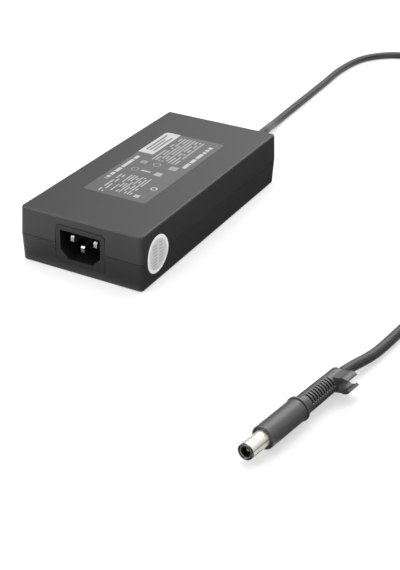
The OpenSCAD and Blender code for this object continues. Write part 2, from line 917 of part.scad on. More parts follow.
// A can with a rolled groove, lying along Y on the board
module lying_can(x, front) {
    groove = 0.5;
    color([0.15, 0.17, 0.3])
        translate([x, 0, board_top + bulk_diameter / 2])
            along_y(front)
                rotate_extrude()
                    polygon([
                        [0, 0],
                        [bulk_diameter / 2 - groove, 0],
                        [bulk_diameter / 2, groove],
                        [bulk_diameter / 2, 3],
                        [bulk_diameter / 2 - groove, 3.6],
                        [bulk_diameter / 2, 4.2],
                        [bulk_diameter / 2, bulk_length - groove],
                        [bulk_diameter / 2 - groove, bulk_length],
                        [0, bulk_length]
                    ]);
}

module bulk_capacitors() {
    lying_can(bulk_x, power_row_front);
    lying_can(second_bulk_x, transformer_front);
}

// A small upright board with its chips
module control_board() {
    height = 17;
    chip_size = [chip_thickness, 5, 4];
    chip_x = chip_face + chip_thickness / 2;
    color([0.1, 0.4, 0.2])
        standing_box([control_board_thickness, bulk_length - 3, height],
            [control_x, power_row, board_top]);
    color([0.1, 0.1, 0.1])
        for (place = [[-0.3, 8], [0, 5], [0.3, 10]])
            standing_box(chip_size,
                [chip_x, power_row + place[0] * bulk_length, board_top + place[1]]);
}

module transformer_core() {
    color(ferrite_color)
        ferrite_frame(transformer_x, transformer_y, transformer_width, transformer_length - 4,
            board_top, component_top);
}

module transformer_winding() {
    color([0.85, 0.75, 0.25])
        frame_winding(transformer_x, transformer_y, transformer_width, transformer_length - 4,
            board_top, component_top);
}

// ---------------------------------------------------------------------------
// Output side

module secondary_heatsink() {
    color([0.7, 0.7, 0.7])
        translate([heatsink_x, output_row, 0]) {
            translate([0, 0, board_top])
                cube([secondary_heatsink_width, heatsink_thickness, component_top - board_top]);
            translate([0, 0, component_top - heatsink_thickness])
                cube([secondary_heatsink_width, heatsink_flange, heatsink_thickness]);
        }
}

module output_rectifiers() {
    pitch = package_width + 1.5;
    first = heatsink_x + 2 + package_width / 2;
    back = output_row + heatsink_thickness;
    color([0.1, 0.1, 0.1])
        for (i = [0:2]) {
            standing_box([package_width, package_thickness, package_height],
                [first + pitch * i, back + package_thickness / 2, board_top + package_legs]);
            for (leg = [-1, 0, 1])
                translate([first + pitch * i + leg * package_width / 4,
                        back + package_thickness / 2, board_top])
                    cylinder(d = leg_diameter, h = package_legs);
        }
}

module output_capacitors() {
    pitch = output_capacitor_diameter + 1;
    color([0.15, 0.2, 0.35])
        for (i = [0:2])
            translate([output_capacitor_x + pitch * i, output_capacitor_row, board_top])
                cylinder(d = output_capacitor_diameter, h = output_capacitor_height);
}

// A ferrite rod on end with a row of round turns
module output_choke() {
    turns = 6;
    color(ferrite_color)
        translate([output_choke_x, output_capacitor_row, board_top])
            cylinder(d = choke_rod_diameter, h = turns * wire_diameter + 2);
    color(copper_color)
        for (i = [0:turns - 1])
            translate([output_choke_x, output_capacitor_row,
                    board_top + 1 + (i + 0.5) * wire_diameter])
                rotate_extrude()
                    translate([(choke_rod_diameter + wire_diameter) / 2, 0])
                        circle(d = wire_diameter - fit_gap);
}

module optocouplers() {
    color([0.95, 0.95, 0.95])
        for (i = [0:1])
            standing_box(optocoupler_size,
                [optocoupler_x + optocoupler_pitch * i, optocoupler_y, board_top]);
}

// Output leads that rise from the board to the grommet
module output_wires() {
    color([0.2, 0.2, 0.2])
        for (offset = [-2.4, 0, 2.4]) {
            translate([cord_exit_x + offset, wire_y, board_top])
                cylinder(d = wire_diameter, h = grommet_z - board_top);
            translate([cord_exit_x + offset, wire_y, grommet_z])
                sphere(d = wire_diameter);
            translate([cord_exit_x + offset, 0, grommet_z])
                along_y(wire_y)
                    cylinder(d = wire_diameter, h = grommet_inner_face - wire_y);
        }
}

// ---------------------------------------------------------------------------
// Cord

// Bars that leave standing ribs along a slotted sleeve: one upright, one level
module sleeve_bars(upright, level, length) {
    standing_box([upright, 4 * barrel_diameter, length], [0, 0, 0]);
    standing_box([4 * barrel_diameter, level, length], [0, 0, 0]);
}

// Rings that cut slots round a sleeve, between its bars
module sleeve_slots(first, count, pitch, slot, core_diameter, upright, level) {
    length = count * pitch;
    translate([0, 0, first])
        difference() {
            for (i = [0:count - 1])
                translate([0, 0, i * pitch])
                    difference() {
                        cylinder(d = 4 * barrel_diameter, h = slot);
                        translate([0, 0, -past])
                            cylinder(d = core_diameter, h = slot + 2 * past);
                    }
            translate([0, 0, -past])
                sleeve_bars(upright, level, length + 2 * past);
        }
}

module cord_grommet() {
    inner_flange_diameter = grommet_diameter + 3.5;
    outer_start = case_length / 2 - grommet_inner_face;
    whole = grommet_end - grommet_inner_face;
    color(cord_color)
        translate([cord_exit_x, 0, grommet_z])
            along_y(grommet_inner_face)
                difference() {
                    rotate_extrude()
                        polygon([
                            [0, 0],
                            [inner_flange_diameter / 2, 0],
                            [inner_flange_diameter / 2, 2 - fit_gap],
                            [grommet_diameter / 2, 2 - fit_gap],
                            [grommet_diameter / 2, outer_start + 2],
                            [grommet_end_diameter / 2, whole],
                            [0, whole]
                        ]);
                    sleeve_slots(outer_start + 4, 6, 3, 1.4, cord_diameter + 0.8, 2, 1);
                }
}

function unit(v) = v / norm(v);

// Point between b and c on a smooth curve through a, b, c and d
function curve_point(a, b, c, d, t) = 0.5 * (2 * b + (c - a) * t
    + (2 * a - 5 * b + 4 * c - d) * t * t + (3 * b - a - 3 * c + d) * t * t * t);

// Evenly spread points along a smooth curve through all of a route's points
function smooth_route(points) = concat(
    [for (i = [0:len(points) - 2])
        let (
            a = points[max(i - 1, 0)],
            b = points[i],
            c = points[i + 1],
            d = points[min(i + 2, len(points) - 1)],
            steps = max(1, round(norm(c - b) / ring_step))
        )
            for (k = [0:steps - 1]) curve_point(a, b, c, d, k / steps)],
    [points[len(points) - 1]]
);

function direction_at(route, i) =
    unit(route[min(i + 1, len(route) - 1)] - route[max(i - 1, 0)]);

// A tube of constant diameter swept along a route that is never upright
module swept_cord(points) {
    route = smooth_route(points);
    rings = len(route);
    corners = [
        for (i = [0:rings - 1])
            let (
                forward = direction_at(route, i),
                side = unit(cross(forward, [0, 0, 1])),
                above = cross(side, forward)
            )
                for (k = [0:cord_sides - 1])
                    let (a = 360 * (k + 0.5) / cord_sides)
                        route[i] + cord_diameter / 2 * (sin(a) * side + cos(a) * above)
    ];
    walls = [
        for (i = [0:rings - 2], k = [0:cord_sides - 1])
            let (next = (k + 1) % cord_sides)
                [i * cord_sides + k, i * cord_sides + next,
                    (i + 1) * cord_sides + next, (i + 1) * cord_sides + k]
    ];
    first_end = [for (k = [cord_sides - 1:-1:0]) k];
    last_end = [for (k = [0:cord_sides - 1]) (rings - 1) * cord_sides + k];
    color(cord_color) polyhedron(corners, concat(walls, [first_end, last_end]));
}

module cord_lead() {
    swept_cord(lead_points);
}

module cord_tail() {
    swept_cord(tail_points);
}

// Outline of a rectangle with round corners, centred on the origin
function rounded_section(width, height, radius) = [
    for (corner = [0:3], i = [0:edge_steps])
        let (
            a = 90 * (corner + i / edge_steps),
            x = (corner == 0 || corner == 3 ? 1 : -1) * (width / 2 - radius),
            y = (corner < 2 ? 1 : -1) * (height / 2 - radius)
        )
            [x + radius * cos(a), y + radius * sin(a)]
];

// The spare cord, wound flat: one ring as wide and high as its turns together,
// with a notch below for the end that comes in and one above for the end that leaves
module cord_coil() {
    rounding = cord_diameter / 2 - 0.1;
    notch = cord_diameter + 2 * notch_gap;
    color(cord_color)
        difference() {
            translate([coil_x, coil_y, 0])
                rotate_extrude()
                    translate([coil_radius, coil_height / 2])
                        polygon(rounded_section(coil_width, coil_height, rounding));
            translate([coil_side - notch / 2, coil_y + notch_reach, -past])
                cube([notch, coil_radius, cord_diameter + notch_gap + past]);
            translate([coil_side - notch / 2, coil_y - notch_reach - coil_radius,
                    upper_turn - notch / 2])
                cube([notch, coil_radius, notch + past]);
        }
}

// ---------------------------------------------------------------------------
// Plug, made along +Z from its tip, then laid on the floor

// A point behind the plug's tip on its axis, raised by rise
function plug_point(behind, rise) =
    [plug_tip[0], plug_tip[1], collar_diameter / 2 + rise] + behind * plug_axis;

module laid_plug() {
    translate([plug_tip[0], plug_tip[1], collar_diameter / 2])
        rotate([0, 0, -plug_heading])
            rotate([0, -plug_roll, 0])
                rotate([-90, 0, 0])
                    children();
}

module plug_barrel() {
    bore = barrel_diameter - 2 * barrel_wall;
    color([0.86, 0.84, 0.78])
        laid_plug()
            rotate_extrude()
                polygon([
                    [bore / 2, tip_length],
                    [barrel_diameter / 2, tip_length],
                    [barrel_diameter / 2, barrel_length],
                    [barrel_diameter / 2 - barrel_step, barrel_length],
                    [barrel_diameter / 2 - barrel_step, barrel_end],
                    [bore / 2, barrel_end]
                ]);
}

// The dark ring at the tip and the lining behind it
module tip_insulator() {
    rim = barrel_diameter / 2 - 0.03;
    outer = barrel_diameter / 2 - barrel_wall - 0.03;
    inner = contact_bore / 2 + sleeve_wall + 0.03;
    mouth_bevel = 0.25;
    tip_radius = 0.55;
    color([0.06, 0.06, 0.06])
        laid_plug()
            rotate_extrude()
                polygon(concat(
                    [[inner, mouth_bevel], [inner + mouth_bevel, 0]],
                    [for (i = [0:edge_steps])
                        let (a = 90 * i / edge_steps)
                            [rim - tip_radius * (1 - sin(a)), tip_radius * (1 - cos(a))]],
                    [
                        [rim, tip_length],
                        [outer, tip_length],
                        [outer, barrel_length + lining_reach],
                        [inner, barrel_length + lining_reach]
                    ]
                ));
}

module inner_contact() {
    contact_setback = 0.5;
    color([0.8, 0.78, 0.72])
        laid_plug()
            difference() {
                translate([0, 0, contact_setback])
                    cylinder(d = contact_bore + 2 * sleeve_wall,
                        h = barrel_length + lining_reach - contact_setback);
                cylinder(d = contact_bore, h = 2 * barrel_end);
            }
}

// The insulator at the bottom of the plug's bore, which carries the pin
module inner_base() {
    color([0.06, 0.06, 0.06])
        laid_plug()
            difference() {
                union() {
                    translate([0, 0, barrel_length - 0.5])
                        cylinder(d = contact_bore - fit_gap, h = lining_reach + 1);
                    translate([0, 0, barrel_length + lining_reach + fit_gap])
                        cylinder(d = barrel_diameter - 2 * barrel_wall - fit_gap,
                            h = barrel_hidden - lining_reach - fit_gap);
                }
                cylinder(d = centre_pin_diameter + 0.04, h = 2 * barrel_end);
            }
}

// The centre pin, split along its front half
module centre_pin() {
    tip = 2.2;
    split = 0.3;
    color([0.85, 0.75, 0.5])
        laid_plug()
            difference() {
                rotate_extrude()
                    polygon([
                        [0, tip],
                        [centre_pin_diameter / 2 - 0.3, tip],
                        [centre_pin_diameter / 2, tip + 0.4],
                        [centre_pin_diameter / 2, barrel_end],
                        [0, barrel_end]
                    ]);
                standing_box([split, 2 * centre_pin_diameter, 6], [0, 0, tip - past]);
            }
}

// The moulded body, with a groove in front of its thin collar
module plug_housing() {
    body = body_diameter / 2;
    collar = collar_diameter / 2;
    mouth = barrel_diameter / 2 - barrel_step + 0.02;
    nose_bevel = 0.2;
    groove_depth = 0.25;
    groove_width = 0.4;
    collar_edge = 0.15;
    color(cord_color)
        laid_plug()
            difference() {
                rotate_extrude()
                    polygon([
                        [0, barrel_length],
                        [body - nose_bevel, barrel_length],
                        [body, barrel_length + nose_bevel],
                        [body, collar_front - groove_width - groove_depth],
                        [body - groove_depth, collar_front - groove_width],
                        [body - groove_depth, collar_front],
                        [collar - collar_edge, collar_front],
                        [collar, collar_front + collar_edge],
                        [collar, collar_back - collar_edge],
                        [collar - collar_edge, collar_back],
                        [0, collar_back]
                    ]);
                translate([0, 0, barrel_length - past])
                    cylinder(r = mouth, h = barrel_hidden + past + fit_gap);
                translate([0, 0, collar_back - spigot_length - fit_gap])
                    cylinder(d = spigot_diameter + fit_gap, h = spigot_length + past);
            }
}

// Outline of the clip, seen along the plug: the sleeve's end, a web and a ring
module clip_outline() {
    end = relief_end_diameter;
    web_height = 2 * clip_radius - 0.6;
    union() {
        circle(d = end);
        translate([0, -web_height / 2]) square([clip_reach, web_height]);
        translate([clip_reach, 0]) circle(r = clip_radius);
    }
}

// The mouth of the clip, a wedge that opens away from the plug
module clip_mouth_cut(length) {
    reach = 2 * clip_radius;
    translate([clip_reach, 0, clip_front - past])
        linear_extrude(length + 2 * past)
            polygon([
                [0, 0],
                [reach * cos(clip_mouth), -reach * sin(clip_mouth)],
                [2 * reach, 0],
                [reach * cos(clip_mouth), reach * sin(clip_mouth)]
            ]);
}

// The soft sleeve behind the collar, slotted so that it bends, and its clip
module strain_relief() {
    core = relief_end_diameter - 2 * slot_depth;
    color(cord_color)
        laid_plug()
            difference() {
                union() {
                    rotate_extrude()
                        polygon([
                            [0, collar_back - spigot_length],
                            [spigot_diameter / 2, collar_back - spigot_length],
                            [spigot_diameter / 2, collar_back],
                            [relief_diameter / 2, collar_back],
                            [relief_end_diameter / 2, clip_front + past],
                            [0, clip_front + past]
                        ]);
                    translate([0, 0, clip_front]) linear_extrude(clip_length) clip_outline();
                }
                sleeve_slots(first_slot, slot_count, slot_pitch, slot_width, core, slot_spine, slot_bar);
                translate([clip_reach, 0, clip_front - past])
                    cylinder(d = clip_bore, h = clip_length + 2 * past);
                clip_mouth_cut(clip_length);
            }
}

// ---------------------------------------------------------------------------
case_bottom();
case_top();
rating_label();
round_seal();
inlet_housing();
inlet_live_pin();
inlet_neutral_pin();
inlet_earth_pin();
circuit_board();
bottom_shield();
bottom_insulator();
top_shield();
top_insulator();
thermal_pads();
fuse();
varistor();
thermistor();
choke_cores();
choke_windings();
x_capacitors();
y_capacitors();
primary_heatsink();
bridge_rectifier();
power_transistors();
boost_core();
boost_winding();
bulk_capacitors();
control_board();
transformer_core();
transformer_winding();
secondary_heatsink();
output_rectifiers();
output_capacitors();
output_choke();
optocouplers();
output_wires();
cord_grommet();
cord_lead();
cord_coil();
cord_tail();
plug_barrel();
tip_insulator();
inner_contact();
inner_base();
centre_pin();
plug_housing();
strain_relief();
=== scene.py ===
import math

import bpy
import numpy as np
from mathutils import Matrix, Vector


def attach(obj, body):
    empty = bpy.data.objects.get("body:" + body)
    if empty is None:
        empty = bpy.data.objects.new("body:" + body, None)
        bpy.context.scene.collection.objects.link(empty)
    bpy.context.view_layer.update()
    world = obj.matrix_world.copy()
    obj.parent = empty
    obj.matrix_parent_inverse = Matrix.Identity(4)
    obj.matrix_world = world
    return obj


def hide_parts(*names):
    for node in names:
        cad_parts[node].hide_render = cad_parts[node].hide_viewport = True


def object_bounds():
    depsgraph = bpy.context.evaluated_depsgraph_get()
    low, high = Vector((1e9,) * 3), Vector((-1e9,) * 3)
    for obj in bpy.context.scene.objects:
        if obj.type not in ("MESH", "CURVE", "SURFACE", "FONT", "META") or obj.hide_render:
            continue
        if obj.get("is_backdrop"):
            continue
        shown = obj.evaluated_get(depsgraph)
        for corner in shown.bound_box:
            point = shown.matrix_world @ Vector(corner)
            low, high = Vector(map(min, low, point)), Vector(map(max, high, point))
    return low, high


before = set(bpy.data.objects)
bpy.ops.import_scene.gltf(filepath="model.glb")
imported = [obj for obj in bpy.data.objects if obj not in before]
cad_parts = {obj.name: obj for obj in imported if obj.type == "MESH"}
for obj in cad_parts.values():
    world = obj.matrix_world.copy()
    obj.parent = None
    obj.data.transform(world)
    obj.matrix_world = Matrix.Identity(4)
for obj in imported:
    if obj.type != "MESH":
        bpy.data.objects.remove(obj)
cad_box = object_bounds()

# ---------------------------------------------------------------------------
# Camera: a long lens in front of the inlet end, to its right and above it,
# tipped a little on its own axis.
CAMERA_STAND = (0.2905, -0.5045, 0.2891)
CAMERA_LENS = 71.33
yaw, pitch, roll = math.radians(-27.42), math.radians(29.80), math.radians(1.36)
ahead = np.array([math.sin(yaw) * math.cos(pitch), math.cos(yaw) * math.cos(pitch),
                  -math.sin(pitch)])
level = np.array([math.cos(yaw), -math.sin(yaw), 0.0])
upward = np.cross(level, ahead)
camera_right = math.cos(roll) * level + math.sin(roll) * upward
camera_up = -math.sin(roll) * level + math.cos(roll) * upward
camera_place = np.eye(4)
camera_place[:3, :3] = np.stack([camera_right, camera_up, -ahead], axis=1)
camera_place[:3, 3] = CAMERA_STAND
camera = bpy.data.objects.new("camera", bpy.data.cameras.new("camera"))
camera.data.lens = CAMERA_LENS
camera.matrix_world = Matrix(camera_place.tolist())
bpy.context.collection.objects.link(camera)
bpy.context.scene.camera = camera

# ---------------------------------------------------------------------------
# Cord: a round two-core lead in a soft matte jacket, extruded in one length.
# It leaves the grommet, lies on the floor in one wide bow, is wound five turns
# into a flat coil two layers high, and ends moulded into the plug.
CORD_EXIT = (0.0135, 0.1035, 0.016)
CORD_DIAMETER = 0.0052
CORD_SIDES = 24
CORD_STEP = 0.003
COIL_CENTRE = np.array([0.150, 0.150])
COIL_RADIUS = 0.031
COIL_TURNS = 5
COIL_STEPS = 72
LYING = CORD_DIAMETER / 2
UPPER_TURN = LYING + CORD_DIAMETER
COIL_SIDE = COIL_CENTRE[0] + COIL_RADIUS + CORD_DIAMETER
PLUG_TIP = np.array([0.142, -0.176, 0.00585])
PLUG_HEADING = math.radians(10)
PLUG_AXIS = np.array([math.sin(PLUG_HEADING), math.cos(PLUG_HEADING), 0.0])
CLIP_BACK = 0.0705


def plug_point(behind, rise=0.0):
    """Point on the plug's axis, behind its tip, raised by rise."""
    return PLUG_TIP + behind * PLUG_AXIS + np.array([0.0, 0.0, rise])


def smooth_line(points, step):
    """Catmull-Rom curve: between b and c each point is half of
    2b + (c - a)t + (2a - 5b + 4c - d)t^2 + (3b - a - 3c + d)t^3, with a and d the neighbours."""
    ends = np.vstack([points[:1], points, points[-1:]])
    stretches = []
    for a, b, c, d in zip(ends[:-3], ends[1:-2], ends[2:-1], ends[3:]):
        count = max(1, round(float(np.linalg.norm(c - b)) / step))
        t = (np.arange(count) / count)[:, None]
        stretches.append(0.5 * (2 * b + (c - a) * t + (2 * a - 5 * b + 4 * c - d) * t ** 2
                                + (3 * b - a - 3 * c + d) * t ** 3))
    return np.vstack(stretches + [points[-1:]])


def ease(x):
    """Smooth rise from 0 to 1: 6x^5 - 15x^4 + 10x^3, level at both ends."""
    x = np.clip(x, 0.0, 1.0)
    return x ** 3 * (x * (6 * x - 15) + 10)


def coil_line():
    """Five clockwise turns from the coil's right side. The first two each ease inwards by one
    diameter, over the turn's degrees 240 to 360, and the last two outwards, over 120 to 240.
    The third keeps its radius and eases up to the upper layer, over 210 to 300."""
    angle = np.linspace(0, COIL_TURNS * 360, COIL_TURNS * COIL_STEPS + 1)
    turn = np.minimum(angle // 360, COIL_TURNS - 1)
    part = angle - 360 * turn
    inwards, outwards = ease((part - 240) / 120), ease((part - 120) / 120)
    steps_in = np.select([turn == 0, turn == 1, turn == 2, turn == 3],
                         [-1 + inwards, inwards, 1 + 0 * part, 1 - outwards], -outwards)
    radius = COIL_RADIUS - CORD_DIAMETER * steps_in
    climb = np.select([turn < 2, turn == 2], [0 * part, ease((part - 210) / 90)], 1.0)
    return np.stack([COIL_CENTRE[0] + radius * np.cos(np.radians(angle)),
                     COIL_CENTRE[1] - radius * np.sin(np.radians(angle)),
                     LYING + CORD_DIAMETER * climb], axis=1)


lead_points = np.array([
    CORD_EXIT, [0.0135, 0.1085, 0.016], [0.0123, 0.117, 0.015],
    [0.0087, 0.130, 0.0115], [0.004, 0.145, 0.007], [0.0005, 0.160, 0.0036],
    [-0.0008, 0.175, LYING], [-0.0013, 0.200, LYING], [-0.0023, 0.250, LYING],
    [-0.003, 0.290, LYING], [0.003, 0.324, LYING], [0.022, 0.345, LYING],
    [0.050, 0.348, LYING], [0.085, 0.342, LYING], [0.118, 0.322, LYING],
    [0.147, 0.292, LYING], [0.168, 0.256, LYING], [0.180, 0.218, LYING],
    [COIL_SIDE, 0.182, LYING], [COIL_SIDE, COIL_CENTRE[1], LYING]])
tail_points = np.array([
    [COIL_SIDE, COIL_CENTRE[1], UPPER_TURN], [COIL_SIDE, 0.135, UPPER_TURN],
    [COIL_SIDE, 0.122, UPPER_TURN - 0.0004], [0.1848, 0.104, 0.005], [0.1826, 0.088, 0.003],
    [0.180, 0.072, LYING], [0.1735, 0.025, LYING], [0.1685, -0.015, LYING],
    [0.165, -0.045, LYING], [0.161, -0.075, 0.003], plug_point(CLIP_BACK + 0.012, -0.001),
    plug_point(CLIP_BACK + 0.004), plug_point(CLIP_BACK)])
cord_line = np.vstack([smooth_line(lead_points, CORD_STEP)[:-1], coil_line()[:-1],
                       smooth_line(tail_points, CORD_STEP)])
cord_length = float(np.linalg.norm(np.diff(cord_line, axis=0), axis=1).sum())


def swept_rings(line, radius, sides):
    """Circle of that radius carried square to a line that is never upright: each ring's
    corners are the line's point + radius (sin a * sideways + cos a * above)."""
    forward = np.gradient(line, axis=0)
    forward /= np.linalg.norm(forward, axis=1, keepdims=True)
    sideways = np.cross(forward, [0.0, 0.0, 1.0])
    sideways /= np.linalg.norm(sideways, axis=1, keepdims=True)
    above = np.cross(sideways, forward)
    angle = np.linspace(0, 2 * np.pi, sides, endpoint=False)
    return (line[:, None] + radius * (np.sin(angle)[None, :, None] * sideways[:, None]
                                      + np.cos(angle)[None, :, None] * above[:, None]))


def tube_mesh(name, rings):
    """Mesh over rings of points, shape (rings, sides, 3), closed round each ring, with a
    flat cap at both ends. Its UV map holds the turn round a ring and the place along."""
    count, sides = rings.shape[:2]
    i, j = np.meshgrid(np.arange(count - 1), np.arange(sides), indexing="ij")
    k = (j + 1) % sides
    quads = np.stack([i * sides + j, i * sides + k, (i + 1) * sides + k, (i + 1) * sides + j], -1)
    first_cap = list(range(sides - 1, -1, -1))
    last_cap = list(range((count - 1) * sides, count * sides))
    faces = quads.reshape(-1, 4).tolist() + [first_cap, last_cap]
    steps = np.linalg.norm(np.diff(rings.mean(axis=1), axis=0), axis=1)
    along = np.concatenate([[0.0], np.cumsum(steps)])
    round_uv = np.stack([j, j + 1, j + 1, j], -1) / sides
    along_uv = np.stack([along[i], along[i], along[i + 1], along[i + 1]], -1)
    wall_uv = np.stack([round_uv, along_uv], -1).reshape(-1, 2)
    uv = np.vstack([wall_uv, np.zeros((2 * sides, 2))])
    mesh = bpy.data.meshes.new(name)
    mesh.from_pydata(rings.reshape(-1, 3), [], faces)
    mesh.uv_layers.new(name="surface").data.foreach_set("uv", uv.astype(np.float32).ravel())
    mesh.polygons.foreach_set("use_smooth", np.arange(len(faces)) < (count - 1) * sides)
    piece = bpy.data.objects.new(name, mesh)
    bpy.context.collection.objects.link(piece)
    return piece


class Signal:
    """A socket in a material's tree. Operators add Math nodes, and make() adds any other
    node."""

    def __init__(self, tree, socket=None):
        self.tree = tree
        self.socket = socket

    def make(self, kind, settings, values, output=0):
        """A node of that type: its settings first, then its sockets' values or links."""
        node = self.tree.nodes.new(kind)
        for name, value in settings.items():
            setattr(node, name, value)
        for name, value in values.items():
            if isinstance(value, Signal):
                self.tree.links.new(value.socket, node.inputs[name])
            else:
                node.inputs[name].default_value = value
        return Signal(self.tree, node.outputs[output])

    def math(self, operation, *terms):
        return self.make("ShaderNodeMath", {"operation": operation}, dict(enumerate(terms)))

    def __add__(self, other):
        return self.math("ADD", self, other)

    def __sub__(self, other):
        return self.math("SUBTRACT", self, other)

    def __rsub__(self, other):
        return self.math("SUBTRACT", other, self)

    def __mul__(self, other):
        return self.math("MULTIPLY", self, other)

    def __truediv__(self, other):
        return self.math("DIVIDE", self, other)

    def __lt__(self, other):
        return self.math("LESS_THAN", self, other)

    def __gt__(self, other):
        return self.math("GREATER_THAN", self, other)

    def __abs__(self):
        return self.math("ABSOLUTE", self)

    def __floor__(self):
        return self.math("FLOOR", self)

    def __round__(self):
        return self.math("ROUND", self)

    __radd__ = __add__
    __rmul__ = __mul__

    def between(self, low, high):
        """0 below low, 1 above high, and a smooth step between."""
        return self.make("ShaderNodeMapRange", {"interpolation_type": "SMOOTHSTEP"},
                         {"Value": self, "From Min": low, "From Max": high})

    def mixed(self, first, second):
        """Colour that runs from first to second as this signal goes from 0 to 1. A Mix node
        takes its colours at sockets 6 and 7 and gives the mixed one at its output 2."""
        def four(color):
            return color if isinstance(color, Signal) else (*color, 1.0)
        return self.make("ShaderNodeMix", {"data_type": "RGBA"},
                         {0: self, 6: four(first), 7: four(second)}, output=2)


def new_finish(name, color, roughness, metallic=0.0, specular=0.5):
    """A material whose constants are set on its Principled shader. Returns it with the
    shader and a Signal of its tree."""
    material = bpy.data.materials.new(name)
    material.use_nodes = True
    material.diffuse_color = (*color, 1.0)
    shader = material.node_tree.nodes["Principled BSDF"]
    shader.inputs["Base Color"].default_value = (*color, 1.0)
    shader.inputs["Roughness"].default_value = roughness
    shader.inputs["Metallic"].default_value = metallic
    shader.inputs["Specular IOR Level"].default_value = specular
    return material, shader, Signal(material.node_tree)


def feed(shader, name, signal):
    """Links a signal to one of the shader's sockets."""
    signal.tree.links.new(signal.socket, shader.inputs[name])


def noise(tree, vector, grain, detail=2.0):
    """Noise whose lumps are about grain metres across, on a vector in metres."""
    return tree.make("ShaderNodeTexNoise", {"noise_dimensions": "3D"},
                     {"Vector": vector, "Scale": 1.0 / grain, "Detail": detail})


def relief(tree, height, depth):
    """Normal of a surface that stands depth metres proud where height is 1."""
    return tree.make("ShaderNodeBump", {}, {"Height": height, "Distance": depth, "Strength": 1.0})


def object_place(tree):
    """Position on the object in metres."""
    return tree.make("ShaderNodeTexCoord", {}, {}, output="Object")


cord = tube_mesh("cord", swept_rings(cord_line, CORD_DIAMETER / 2, CORD_SIDES))
cord_rubber, shader, tree = new_finish("cord_rubber", (0.021, 0.021, 0.022),
                                       roughness=0.45, specular=0.36)
lumps = noise(tree, object_place(tree), grain=0.004)
feed(shader, "Base Color", lumps.mixed((0.017, 0.017, 0.018), (0.025, 0.025, 0.026)))
# Fine grain, drawn out along the cord by the die that it was extruded through
round_and_along = tree.make("ShaderNodeTexCoord", {}, {}, output="UV")
drawn = tree.make("ShaderNodeMapping", {}, {"Vector": round_and_along, "Scale": (60.0, 300.0, 1.0)})
streaks = tree.make("ShaderNodeTexNoise", {"noise_dimensions": "2D"},
                    {"Vector": drawn, "Scale": 1.0})
feed(shader, "Normal", relief(tree, streaks, depth=0.00003))
cord.data.materials.append(cord_rubber)
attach(cord, "root")
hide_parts("cord_lead", "cord_coil", "cord_tail")
cord_line.tolist()


def paint(material, *nodes):
    """Gives these CAD nodes a material."""
    for node in nodes:
        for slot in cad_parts[node].material_slots:
            slot.material = material


paint(cord_rubber, "cord_grommet")

# ---------------------------------------------------------------------------
# Case: two shells moulded in black polycarbonate and welded along the seam.
# The mould's spark-eroded faces leave a fine matte grain.
SEAM_HEIGHT = 0.016
CASE_GRAIN = 0.00045


def split(place):
    """The three coordinates of a position."""
    sockets = place.make("ShaderNodeSeparateXYZ", {}, {"Vector": place}).socket.node.outputs
    return [Signal(place.tree, sockets[i]) for i in range(3)]


case_plastic, shader, tree = new_finish("case_plastic", (0.018, 0.018, 0.019),
                                        roughness=0.5, specular=0.42)
place = object_place(tree)
height = split(place)[2]
mottle = noise(tree, place, grain=0.02, detail=3.0)
mottled = mottle.mixed((0.014, 0.014, 0.015), (0.020, 0.020, 0.021))
# The bevels of both shells meet in a groove, painted darker as painted shade and made rougher so
# that it catches little light
seam_groove_shade = 1 - abs(height - SEAM_HEIGHT).between(0.00022, 0.00034)
feed(shader, "Base Color", seam_groove_shade.mixed(mottled, (0.009, 0.009, 0.009)))
feed(shader, "Roughness", mottle * 0.06 + seam_groove_shade * 0.4 + 0.46)
moulded_grain = noise(tree, place, grain=CASE_GRAIN, detail=1.0)
feed(shader, "Normal", relief(tree, moulded_grain, depth=0.00003))
paint(case_plastic, "case_bottom", "case_top")

# ---------------------------------------------------------------------------
# Rating label: a grey film with rounded corners, glued into its panel and
# printed in pale ink: ruled lines of dashes, a pale block with three dark
# bars, and rows of small plain marks. It carries no words.
PRINT_BLUR = 0.00012


def rules(tree, across, along, pitch, share, dash, cover, seed):
    """Ruled lines a pitch apart, each share of it thick, broken into cells a dash long of
    which cover are inked."""
    row, column = across / pitch, along / dash
    rows, columns = math.floor(row), math.floor(column)
    cell = tree.make("ShaderNodeCombineXYZ", {}, {"X": rows, "Y": columns, "Z": seed})
    chance = tree.make("ShaderNodeTexWhiteNoise", {"noise_dimensions": "3D"}, {"Vector": cell})
    return (chance < cover) * (row - rows < share)


def band(value, low, high):
    """1 between two places in millimetres, with blurred edges."""
    low, high = low / 1000, high / 1000
    return (value.between(low - PRINT_BLUR, low + PRINT_BLUR)
            * (1 - value.between(high - PRINT_BLUR, high + PRINT_BLUR)))


def patch(across, along, low, high):
    """1 inside a rectangle given by its corners (across, along) in millimetres."""
    return band(across, low[0], high[0]) * band(along, low[1], high[1])


def distance(across, along):
    """Straight distance, from its two parts."""
    return across.math("SQRT", across * across + along * along)


def ring_mark(across, along, centre, radius, thickness):
    """A round outline in millimetres."""
    from_centre = distance(across - centre[0] / 1000, along - centre[1] / 1000)
    return band(from_centre, radius - thickness, radius)


